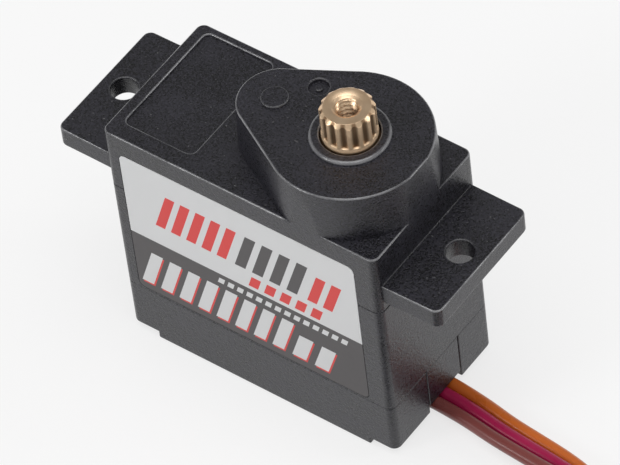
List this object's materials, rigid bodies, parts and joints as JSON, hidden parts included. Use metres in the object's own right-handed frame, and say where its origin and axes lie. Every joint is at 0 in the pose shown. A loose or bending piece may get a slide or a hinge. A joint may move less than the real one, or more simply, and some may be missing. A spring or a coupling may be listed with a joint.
{
  "type": "servo motor",
  "caption": "Micro servo motor: a plastic case with mounting ears, a splined brass output shaft driven through a gear train, and a three-wire lead with a plug.",
  "frame": {"origin": "centre of the case at the underside of its lower pad", "axes": "+X along the case towards the output shaft and the lead, -Y out of the label face, +Z along the output shaft, out of its splined end"},
  "size_m": [0.0579, 0.023, 0.0276],
  "materials": {
    "case_plastic": "satin, fine moulded grain",
    "screw_steel": "plain",
    "label_film": "satin printed film",
    "shaft_brass": "machined",
    "gear_plastic": "satin",
    "axle_steel": "ground",
    "core_steel": "laminated",
    "copper": "bare",
    "motor_steel": "drawn",
    "magnet": "matt",
    "motor_plastic": "satin",
    "tinned_metal": "tinned",
    "sensor_plastic": "satin",
    "sensor_track": "matt",
    "board": "lacquered",
    "chip_plastic": "matt",
    "capacitor_ceramic": "matt",
    "insulation_orange": "soft gloss",
    "insulation_red": "soft gloss",
    "insulation_brown": "soft gloss",
    "insulation_black": "soft gloss",
    "connector_plastic": "matt",
    "contact_metal": "plated"
  },
  "bodies": {
    "case": {"top_case": "case_plastic", "middle_case": "case_plastic", "bottom_case": "case_plastic", "cable_clamp": "case_plastic", "case_screws": "screw_steel", "label": "label_film", "gear_axle": "axle_steel", "motor_can": "motor_steel", "motor_magnets": "magnet", "motor_end_cap": "motor_plastic", "motor_brushes": "copper", "motor_terminals": "tinned_metal", "pot_housing": "sensor_plastic", "pot_track": "sensor_track", "pot_terminals": "tinned_metal", "circuit_board": "board", "control_chip": "chip_plastic", "bridge_transistors": "chip_plastic", "board_capacitors": "capacitor_ceramic", "board_resistors": "chip_plastic", "motor_lead_red": "insulation_red", "motor_lead_black": "insulation_black", "wire_orange": "insulation_orange", "wire_red": "insulation_red", "wire_brown": "insulation_brown", "coil_orange": "insulation_orange", "coil_red": "insulation_red", "coil_brown": "insulation_brown", "connector_housing": "connector_plastic", "connector_contacts": "contact_metal"},
    "rotor": {"motor_pinion": "shaft_brass", "motor_shaft": "axle_steel", "armature_core": "core_steel", "armature_windings": "copper", "commutator": "copper"},
    "first_gear_body": {"first_gear": "gear_plastic"},
    "second_gear_body": {"second_gear": "gear_plastic"},
    "third_gear_body": {"third_gear": "gear_plastic"},
    "output": {"output_shaft": "shaft_brass", "output_gear": "gear_plastic", "pot_shaft": "gear_plastic", "pot_wiper": "copper"}
  },
  "joints": [
    {"name": "motor_turn", "type": "hinge", "parent": "case", "child": "rotor", "pos_m": [-0.00575, 0, 0.018], "axis": [0, 0, 1], "range_deg": [-9477, 9477]},
    {"name": "first_gear_turn", "type": "hinge", "parent": "case", "child": "first_gear_body", "pos_m": [-0.0005, 0, 0.018], "axis": [0, 0, 1], "range_deg": [-2188, 2188]},
    {"name": "second_gear_turn", "type": "hinge", "parent": "case", "child": "second_gear_body", "pos_m": [0.00575, 0, 0.018], "axis": [0, 0, 1], "range_deg": [-769, 769]},
    {"name": "third_gear_turn", "type": "hinge", "parent": "case", "child": "third_gear_body", "pos_m": [-0.0005, 0, 0.018], "axis": [0, 0, 1], "range_deg": [-270, 270]},
    {"name": "output_turn", "type": "hinge", "parent": "case", "child": "output", "pos_m": [0.00575, 0, 0.018], "axis": [0, 0, 1], "range_deg": [-90, 90]}
  ],
  "couplings": [
    {"joint": "first_gear_turn", "follows": "motor_turn", "ratio": -0.23077},
    {"joint": "second_gear_turn", "follows": "motor_turn", "ratio": 0.081081},
    {"joint": "third_gear_turn", "follows": "motor_turn", "ratio": -0.028488},
    {"joint": "output_turn", "follows": "motor_turn", "ratio": 0.009496}
  ]
}
